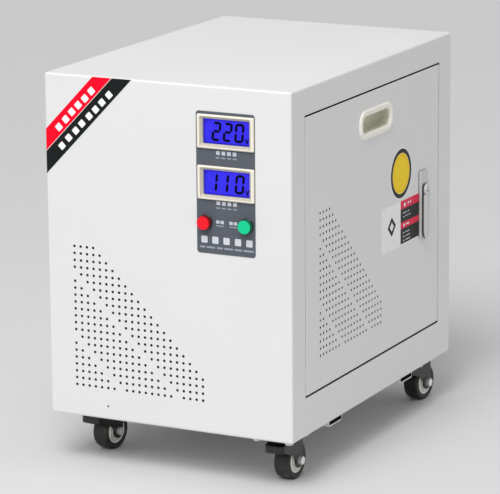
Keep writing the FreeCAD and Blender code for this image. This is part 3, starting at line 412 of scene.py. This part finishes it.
def shaded(name, color, foot, top):
    """Satin metal whose flanks are painted dark towards the plate it stands on: a painted shadow line."""
    m = metal(name, color, 0.46, (1, 1, 0.12), 900.0, 0.00003, met=0.30)
    nt = m.node_tree
    b = nt.nodes["Principled BSDF"]
    was = b.inputs["Base Color"].links[0].from_socket
    f = step(nt, axis_of(nt, "X"), foot, top)
    nt.links.new(mix_color(nt, f, (0.035, 0.035, 0.034), was), b.inputs["Base Color"])
    return m


# lever, spindle and lock plate get a painted shadow line where they stand on the plate and the door
SATIN_FLANK_SHADOW = shaded("lock_satin_flank_shadow", (0.68, 0.68, 0.67), OUT_X + 0.0055, OUT_X + 0.0066)
SATIN_PLATE_SHADOW = shaded("lock_satin_plate_shadow", (0.66, 0.66, 0.65), OUT_X + 0.0006, OUT_X + 0.0012)
BRASS = metal("stud_brass", (0.80, 0.60, 0.25), 0.28)
FORK = moulded("fork_black", (0.014, 0.0135, 0.0125), 0.33, 420.0, 0.00010, 0.12)
BOARD = moulded("board_brown", (0.20, 0.10, 0.05), 0.40)
LEAD = moulded("lead_sleeve", (0.45, 0.04, 0.03), 0.45)
CABLE = moulded("cable_grey", (0.09, 0.09, 0.10), 0.5)
GREEN = lit("lens_green", (0.002, 0.12, 0.055), (0.004, 0.62, 0.29), FACE_Y, 0.90)
RED = lit("lens_red", (0.15, 0.002, 0.004), (0.96, 0.007, 0.022), FACE_Y, 0.86)
BLUE_U = screen("display_upper", 458.8)
BLUE_L = screen("display_lower", 393.7)
COPPER = winding("winding_varnish")
CORE = laminated("laminations")
PAPER = moulded("press_board", (0.52, 0.42, 0.26), 0.6, 300.0, 0.0001, 0.08)
DIGIT = moulded("digit_dark", (0.0012, 0.0010, 0.012), 0.30, 900.0, 0.00001, Specular_IOR_Level=0.06)
FAINT = moulded("digit_faint", (0.002, 0.002, 0.05), 0.30, 900.0, 0.00001, Specular_IOR_Level=0.06)
PRINT = printed("print_pale", (0.55, 0.58, 0.64))
PRINT_BRIGHT = printed("print_bright", (0.66, 0.68, 0.72))
PRINT_DIM = printed("print_dim", (0.34, 0.37, 0.43))
TAPE_RED = printed("tape_red", (0.99, 0.0008, 0.022), 0.34)
TAPE_BLACK = printed("tape_black", (0.010, 0.013, 0.013), 0.34)
TAPE_WHITE = printed("tape_white", (0.90, 0.90, 0.90), 0.38)
YELLOW = printed("film_yellow", (0.99, 0.70, 0.004), 0.34)
YELLOW_DEEP = printed("film_amber", (0.90, 0.42, 0.004), 0.34)
INK = printed("film_ink", (0.020, 0.020, 0.018), 0.36)
FILM = printed("film_white", (0.92, 0.92, 0.93), 0.32)
FILM_RED = printed("film_red", (0.80, 0.022, 0.080), 0.34)

ASSIGN = {
    WHITE: "rear_panel top_panel left_panel base_panel",
    RAIL: "front_base_rail rear_base_rail",
    FACE: "front_panel",
    FRAME: "right_frame",
    DOOR: "right_door",
    SLATE: "control_overlay",
    CREAM_U: "upper_meter_housing",
    CREAM_L: "lower_meter_housing",
    BLUE_U: "upper_meter_display",
    BLUE_L: "lower_meter_display",
    RED: "red_lamp_lens",
    GREEN: "green_lamp_lens",
    BLACK: "red_lamp_body green_lamp_body lamp_nuts",
    CORE: "core_laminations",
    ZINC: "clamp_angles core_bolts hinge_frame_leaves hinge_door_leaves hinge_pins caster_bolts lock_cam lever_pin",
    BOARD: "terminal_board",
    BRASS: "terminal_studs",
    LEAD: "coil_leads",
    CABLE: "meter_cable",
    RUBBER: "rear_grommets door_gasket",
    FORK: "caster_plates fl_fork fr_fork rl_fork rr_fork",
    TYRE: "fl_tyre fr_tyre rl_tyre rr_tyre",
    RIM: "fl_rim fr_rim rl_rim rr_rim",
    CHROME: "fl_axle fr_axle rl_axle rr_axle",
    IVORY: "pull_handle",
    SATIN_PLATE_SHADOW: "lock_housing",
    SATIN_FLANK_SHADOW: "lock_spindle lock_lever",
    TAPE_RED: "corner_sticker",
    YELLOW: "round_sticker",
    FILM: "block_sticker",
    COPPER: "front_coil rear_coil",
}
for m, names in ASSIGN.items():
    for n in names.split():
        o = NODES[n]
        o.data.materials.clear()
        o.data.materials.append(m)


# ------------------------------------------------------------------ thin printed pieces
def FRONT(a, t, c):
    return P(a, -250.0 - t, c)


def RIGHT(a, t, c):
    return P(175.0 + t, a, c)


def TOP(a, t, c):
    return P(a, c, t)


def FOLDED(a, t, c):
    """Front face that runs on round the folds along its left and upper edges."""
    r = 3.0
    x, y, z = a, -250.0 - t, c
    if a < -172.0:
        f = (-172.0 - a) / r
        x, y = -172.0 - (r + t) * math.sin(f), -247.0 - (r + t) * math.cos(f)
    elif c > 513.0:
        f = (c - 513.0) / r
        z, y = 513.0 + (r + t) * math.sin(f), -247.0 - (r + t) * math.cos(f)
    return P(x, y, z)


def film(name, body, face, fields, cuts=()):
    """One object of thin closed solids. fields: (material, t0, t1, [polygons]) in face
    millimetres; cuts: ('a' or 'c', value) lines along which the polygons are divided."""
    me = bpy.data.meshes.new(name)
    bm = bmesh.new()
    mats = []
    for mat, t0, t1, polys in fields:
        if mat not in mats:
            mats.append(mat)
        k = mats.index(mat)
        for poly in polys:
            flat = bmesh.new()
            flat.faces.new([flat.verts.new((a, 0.0, c)) for a, c in poly])
            for way, v in cuts:
                co = (v, 0, 0) if way == "a" else (0, 0, v)
                no = (1, 0, 0) if way == "a" else (0, 0, 1)
                bmesh.ops.bisect_plane(flat, geom=flat.verts[:] + flat.edges[:] + flat.faces[:],
                                       dist=1e-5, plane_co=co, plane_no=no)
            hi, lo = {}, {}
            for vv in flat.verts:
                hi[vv] = bm.verts.new(face(vv.co.x, t1, vv.co.z))
                lo[vv] = bm.verts.new(face(vv.co.x, t0, vv.co.z))
            made = []
            for f in flat.faces:
                made.append(bm.faces.new([hi[vv] for vv in f.verts]))
                made.append(bm.faces.new([lo[vv] for vv in reversed(f.verts)]))
            for e in flat.edges:
                if len(e.link_faces) == 1:
                    p, q = e.verts
                    made.append(bm.faces.new([hi[p], hi[q], lo[q], lo[p]]))
            for f in made:
                f.material_index = k
            flat.free()
    bmesh.ops.recalc_face_normals(bm, faces=bm.faces[:])
    bm.to_mesh(me)
    bm.free()
    for mat in mats:
        me.materials.append(mat)
    o = bpy.data.objects.new(name, me)
    scene.collection.objects.link(o)
    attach(o, body)
    return o


def box_(a0, c0, a1, c1):
    return [(a0, c0), (a1, c0), (a1, c1), (a0, c1)]


def rbox(ca, cc, w, h, r, turn=0.0, n=4):
    """Rounded rectangle about (ca, cc), turned by degrees."""
    out = []
    for k, (sa, sc) in enumerate(((1, 1), (-1, 1), (-1, -1), (1, -1))):
        for j in range(n + 1):
            f = math.radians(90 * k + 90 * j / n)
            out.append((sa * (w / 2 - r) + r * math.cos(f), sc * (h / 2 - r) + r * math.sin(f)))
    t = math.radians(turn)
    return [(ca + a * math.cos(t) - c * math.sin(t), cc + a * math.sin(t) + c * math.cos(t)) for a, c in out]


def disc(ca, cc, r, n=64):
    return [(ca + r * math.cos(2 * math.pi * k / n), cc + r * math.sin(2 * math.pi * k / n)) for k in range(n)]


def hoop(ca, cc, r0, r1, n=64):
    """Ring as two half rings, so that each polygon is simple."""
    out = []
    for h in range(2):
        g = [math.pi * h + math.pi * k / (n // 2) for k in range(n // 2 + 1)]
        out.append([(ca + r1 * math.cos(f), cc + r1 * math.sin(f)) for f in g] +
                   [(ca + r0 * math.cos(f), cc + r0 * math.sin(f)) for f in reversed(g)])
    return out


# corner tape: a clear edge, a red band and a black band, each with plain white tiles
def across(p0, p1, top_c, left_a):
    """Where the line through p0 and p1 meets the upper limit and the left limit."""
    (a0, c0), (a1, c1) = p0, p1
    s = (c1 - c0) / (a1 - a0)
    return (a0 + (top_c - c0) / s, top_c), (left_a, c0 + (left_a - a0) * s)


TOP_C, LEFT_A = 515.2, -174.2
LA = across((-104.0, 516.0), (-175.0, 442.0), TOP_C, LEFT_A)
LB = across((-76.0, 516.0), (-175.0, 413.0), TOP_C, LEFT_A)
LC = across((-47.0, 516.0), (-175.0, 383.0), TOP_C, LEFT_A)


def between(p, q, f):
    return tuple(a + (b - a) * f for a, b in zip(p, q))


def band(one, two, f0, f1):
    return [between(one[1], two[1], f0), between(one[1], two[1], f1),
            between(one[0], two[0], f1), between(one[0], two[0], f0)]


TILT = math.degrees(math.atan2(LB[0][1] - LB[1][1], LB[0][0] - LB[1][0]))
RED_TILES = [(-154.4, 446.6), (-144.3, 457.4), (-135.2, 467.7), (-125.7, 477.1), (-115.7, 486.5),
             (-106.2, 496.7)]
BLACK_TILES = [(-150.5, 422.5), (-140.4, 433.8), (-129.9, 443.8), (-120.8, 453.7), (-109.9, 464.1),
               (-100.4, 473.4), (-91.0, 483.2), (-80.6, 493.5)]
folds = [("a", v) for v in (-172.0, -172.6, -173.2, -173.8)] + [("c", v) for v in (513.0, 513.6, 514.2, 514.8)]
tape = film("corner_tape", "cabinet", FOLDED, [
    (TAPE_WHITE, 0.01, 0.14, [band(LA, LC, 0.0, 1.0)]),
    (TAPE_RED, 0.141, 0.20, [band(LA, LB, 0.012, 0.985)]),
    (TAPE_BLACK, 0.141, 0.20, [band(LB, LC, 0.015, 0.988)]),
    (TAPE_WHITE, 0.201, 0.23, [rbox(a, c, 8.8, 8.8, 1.2, TILT) for a, c in RED_TILES] +
     [rbox(a, c, 8.6, 8.6, 1.2, TILT) for a, c in BLACK_TILES]),
], folds)
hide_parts("corner_sticker")

# round plain film on the door
spot = film("round_film", "door", RIGHT, [
    (FILM, 0.01, 0.16, [disc(82.5, 351, 35.0)]),
    (INK, 0.161, 0.20, hoop(82.5, 351, 27.6, 33.4)),
    (YELLOW, 0.161, 0.195, [disc(82.5, 351, 27.3)]),
    (YELLOW_DEEP, 0.196, 0.215, hoop(82.5, 351, 23.6, 24.6)),
])
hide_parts("round_sticker")

# block film: white half left plain but for a lozenge, and four bands with short bars
bars = []
for c, row in ((294.8, (89, 101, 6)), (294.8, (104, 110, 3)), (289.6, (89, 94, 3)), (289.6, (97, 104, 3)),
               (289.6, (107, 113, 3)), (267.6, (89, 94, 3)), (267.6, (97, 110, 4)), (262.2, (89, 97, 4)),
               (262.2, (100, 112, 4)), (256.9, (89, 95, 3)), (256.9, (98, 113, 4))):
    bars.append(box_(row[0], c, row[1], c + 1.5))
lab = film("block_film", "door", RIGHT, [
    (FILM, 0.01, 0.16, [rbox(80.9, 282.5, 119.8, 61.0, 1.2)]),
    (FILM_RED, 0.161, 0.195, [box_(81.2, 301.3, 140.6, 312.9), box_(81.2, 274.6, 140.6, 283.2)]),
    (INK, 0.161, 0.195, [box_(81.2, 283.2, 140.6, 301.3), box_(81.2, 253.9, 140.6, 274.6),
                         rbox(52.5, 284.0, 19.0, 19.0, 2.0, 45.0)]),
    (FILM, 0.196, 0.21, [rbox(52.5, 284.0, 9.0, 9.0, 1.2, 45.0), rbox(95.0, 306.2, 5.0, 5.0, 0.8, 45.0),
                         rbox(106.5, 306.9, 3.6, 3.2, 0.6), rbox(113.5, 306.9, 3.6, 3.2, 0.6),
                         rbox(92.5, 278.6, 4.0, 4.0, 0.7, 45.0), rbox(104.0, 278.8, 11.0, 1.8, 0.6)]),
    (PRINT, 0.196, 0.21, bars),
])
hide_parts("block_sticker")

# print on the control field: plain tiles and dashes
tiles, dashes = [], []
for k in range(4):
    tiles.append(rbox(73.5 + 7.75 * k, 432.2, 5.2, 5.0, 0.7))
    dashes.append(rbox(73.2 + 7.9 * k, 426.0, 5.6, 1.5, 0.5))
    tiles.append(rbox(73.5 + 7.75 * k, 368.1, 5.2, 4.6, 0.7))
    dashes.append(rbox(73.2 + 7.9 * k, 361.9, 5.6, 1.5, 0.5))
for a0 in (69.5, 88.0):
    tiles += [rbox(a0 + 3.0, 343.9, 4.8, 4.2, 0.6), rbox(a0 + 9.2, 343.9, 4.8, 4.2, 0.6)]
    dashes.append(rbox(a0 + 6.1, 339.0, 10.8, 1.4, 0.5))
big = [rbox(a, 320.2, 8.8, 9.0, 1.2) for a in (53.4, 68.8, 84.5, 100.6, 116.5)]
for a0, a1 in ((47.0, 54.5), (56.5, 68.0), (71.0, 79.0), (81.0, 93.5), (95.5, 106.0), (108.0, 122.4)):
    dashes.append(rbox((a0 + a1) / 2, 310.4, a1 - a0, 2.2, 0.7))
marks = film("control_print", "cabinet", FRONT, [
    (PRINT, 0.501, 0.53, tiles),
    (PRINT_BRIGHT, 0.501, 0.53, big),
    (PRINT_DIM, 0.501, 0.53, dashes),
])


# digits on the displays
def segments(a0, a1, c0, c1, on, w=3.4, gap=0.36):
    """Seven-segment figure as bevelled bars, leaning 5 degrees."""
    h = w / 2
    m = (c0 + c1) / 2
    lean = math.tan(math.radians(5.0))

    def across_(c, hook=1.0):
        return [(a0 + h + gap, c), (a0 + w + gap * 0.4, c - h), (a1 - w - gap * 0.4, c - h), (a1 - h - gap, c),
                (a1 - w - gap * 0.4, c + h), (a0 + w + gap * 0.4, c + h)]

    def upright(a, lo, hi):
        return [(a, lo + gap), (a + h, lo + h + gap), (a + h, hi - h - gap), (a, hi - gap), (a - h, hi - h - gap),
                (a - h, lo + h + gap)]
    shapes = {"A": across_(c1 - h), "G": across_(m), "D": across_(c0 + h),
              "F": upright(a0 + h, m, c1 - h * 0.5), "E": upright(a0 + h, c0 + h * 0.5, m),
              "B": upright(a1 - h, m, c1 - h * 0.5), "C": upright(a1 - h, c0 + h * 0.5, m)}
    return [[(a + (c - m) * lean, c) for a, c in shapes[s]] for s in on]


def figures(left, low, ones):
    out = []
    lo, hi = low + 3.6, low + 32 - 3.6
    if ones:
        out += segments(left + 7.6, left + 19.0, lo, hi, "BC") + segments(left + 23.3, left + 34.6, lo, hi, "BC")
    else:
        out += segments(left + 11.8, left + 24.6, lo, hi, "ABGED")
        out += segments(left + 27.6, left + 40.4, lo, hi, "ABGED")
    out += segments(left + 43.6, left + 56.6, lo, hi, "ABCDEF")
    v0, v1 = left + 57.5, low + 3.2
    out.append([(v0, v1 + 6.6), (v0 + 2.2, v1), (v0 + 3.6, v1), (v0 + 2.9, v1 + 2.4), (v0 + 1.7, v1 + 6.6)])
    out.append([(v0 + 3.61, v1), (v0 + 5.8, v1 + 6.6), (v0 + 4.1, v1 + 6.6), (v0 + 2.91, v1 + 2.4)])
    return out


T_LCD = 0.5 - 2.6
for tag, level, ones in (("upper", 458.8, False), ("lower", 393.7, True)):
    left, low = 84.8 - 32.5, level - 16.0
    f = film(tag + "_digits", "cabinet", FRONT, [
        (DIGIT, T_LCD + 0.001, T_LCD + 0.05, figures(left, low, ones)),
        (FAINT, T_LCD + 0.001, T_LCD + 0.04, [rbox(left + 3.6, low + 32 - 4.3, 3.6, 1.1, 0.4)]),
    ])


# ------------------------------------------------------------------ swept and turned pieces
def mesh_object(name, verts, faces, mat, body, smooth=None):
    me = bpy.data.meshes.new(name)
    me.from_pydata([tuple(v) for v in verts], [], faces)
    bm = bmesh.new()
    bm.from_mesh(me)
    bmesh.ops.recalc_face_normals(bm, faces=bm.faces[:])
    for f in bm.faces:
        f.smooth = bool(smooth)
    if smooth:
        for e in bm.edges:
            if len(e.link_faces) == 2 and e.calc_face_angle(0) > smooth:
                e.smooth = False
    bm.to_mesh(me)
    bm.free()
    me.materials.append(mat)
    o = bpy.data.objects.new(name, me)
    scene.collection.objects.link(o)
    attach(o, body)
    return o


def sleeve(cx, cy, profile, verts, faces, n=6):
    """Closed ring: profile entries (half width, half depth, corner radius, z) swept round."""
    start = len(verts)
    m = len(profile)
    cols = 0
    for k, (sa, sc) in enumerate(((1, 1), (-1, 1), (-1, -1), (1, -1))):
        for j in range(n + 1):
            f = math.radians(90 * k + 90 * j / n)
            for hx, hy, r, z in profile:
                verts.append(P(cx + sa * (hx - r) + r * math.cos(f), cy + sc * (hy - r) + r * math.sin(f), z))
            cols += 1
    for i in range(cols):
        for j in range(m):
            a = start + i * m + j
            b = start + i * m + (j + 1) % m
            c = start + ((i + 1) % cols) * m + (j + 1) % m
            d = start + ((i + 1) % cols) * m + j
            faces.append((a, b, c, d))


for tag, cy in (("front", -97.5), ("rear", 97.5)):
    prof = [(45.3, 32.8, 1.5, 148.2), (67.3, 54.8, 18.0, 148.2)]
    z, turns = 148.6, 39
    pitch = (277.4 - z) / turns
    for k in range(turns):
        for f, d in ((0.0, 0.0), (0.2, 0.85), (0.5, 1.25), (0.8, 0.85)):
            prof.append((67.3 + d, 54.8 + d, 18.0 + d, z + pitch * (k + f)))
    prof += [(67.3, 54.8, 18.0, 277.8), (45.3, 32.8, 1.5, 277.8)]
    vs, fs = [], []
    sleeve(-30.0, cy, prof, vs, fs)
    o = mesh_object(tag + "_winding", vs, fs, COPPER, "cabinet", math.radians(50))
    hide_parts(tag + "_coil")
    vs, fs = [], []
    for z0, z1 in ((145.1, 148.1), (277.9, 280.9)):
        sleeve(-30.0, cy, [(45.2, 32.7, 1.0, z0), (69.4, 56.9, 6.0, z0), (69.9, 57.4, 6.5, z0 + 0.5),
                           (69.9, 57.4, 6.5, z1 - 0.5), (69.4, 56.9, 6.0, z1), (45.2, 32.7, 1.0, z1)], vs, fs)
    o = mesh_object(tag + "_end_boards", vs, fs, PAPER, "cabinet", math.radians(40))

# small dark rivet low on the front
prof = [(0.0, 0.02), (1.3, 0.02), (1.3, 0.22), (1.1, 0.42), (0.7, 0.42), (0.5, 0.2), (0.0, 0.2)]
vs, fs, n = [], [], 24
for r, t in prof[1:-1]:
    for k in range(n):
        f = 2 * math.pi * k / n
        vs.append(FRONT(-90.0 + r * math.cos(f), t, 84.0 + r * math.sin(f)))
for j in range(len(prof) - 3):
    for k in range(n):
        fs.append((j * n + k, j * n + (k + 1) % n, (j + 1) * n + (k + 1) % n, (j + 1) * n + k))
fs.append(tuple(range(n)))
fs.append(tuple(reversed(range((len(prof) - 3) * n, (len(prof) - 2) * n))))
o = mesh_object("front_rivet", vs, fs, BLACK, "cabinet", math.radians(35))

# plain marks beside the terminals
marks = []
for k, y in enumerate((-125, -70, -20, 20, 70, 125)):
    marks.append(rbox(47.0, y, 9.0, 2.0, 0.7))
    if k % 2:
        marks.append(rbox(47.0, y + 4.4, 9.0, 2.0, 0.7))
o = film("terminal_marks", "cabinet", TOP, [(PRINT, 356.0, 356.15, marks)])


# ------------------------------------------------------------------ floor and light
def floor():
    bm = bmesh.new()
    bmesh.ops.create_grid(bm, x_segments=2, y_segments=2, size=30.0)
    me = bpy.data.meshes.new("floor")
    bm.to_mesh(me)
    bm.free()
    o = bpy.data.objects.new("floor", me)
    scene.collection.objects.link(o)
    m, nt, b = new_mat("floor_pale", (0.70, 0.70, 0.70), 0.75)
    v = coords(nt)
    varied(nt, b, (0.70, 0.70, 0.705), 0.01, 1.5, v)
    b.inputs["Specular IOR Level"].default_value = 0.2
    me.materials.append(m)


def sun(name, towards, power, spread):
    d = bpy.data.lights.new(name, "SUN")
    d.energy = power
    d.angle = math.radians(spread)
    o = bpy.data.objects.new(name, d)
    scene.collection.objects.link(o)
    o.rotation_mode = "QUATERNION"
    o.rotation_quaternion = (-Vector(towards)).to_track_quat("-Z", "Y")
    return o


def panel(name, at, aim, size, power):
    d = bpy.data.lights.new(name, "AREA")
    d.shape = "DISK"
    d.size = size
    d.energy = power
    o = bpy.data.objects.new(name, d)
    scene.collection.objects.link(o)
    o.location = at
    o.rotation_mode = "QUATERNION"
    o.rotation_quaternion = (Vector(aim) - Vector(at)).to_track_quat("-Z", "Y")
    return o


floor()
w = bpy.data.worlds.new("studio")
scene.world = w
w.use_nodes = True
w.node_tree.nodes["Background"].inputs["Color"].default_value = (1, 1, 1, 1)
w.node_tree.nodes["Background"].inputs["Strength"].default_value = 0.50
sun("key", (0.10, -0.65, 0.754), 1.35, 32.0)
panel("soft_box", (0.12, -1.30, 2.15), (0.0, -0.1, 0.33), 1.3, 16.0)
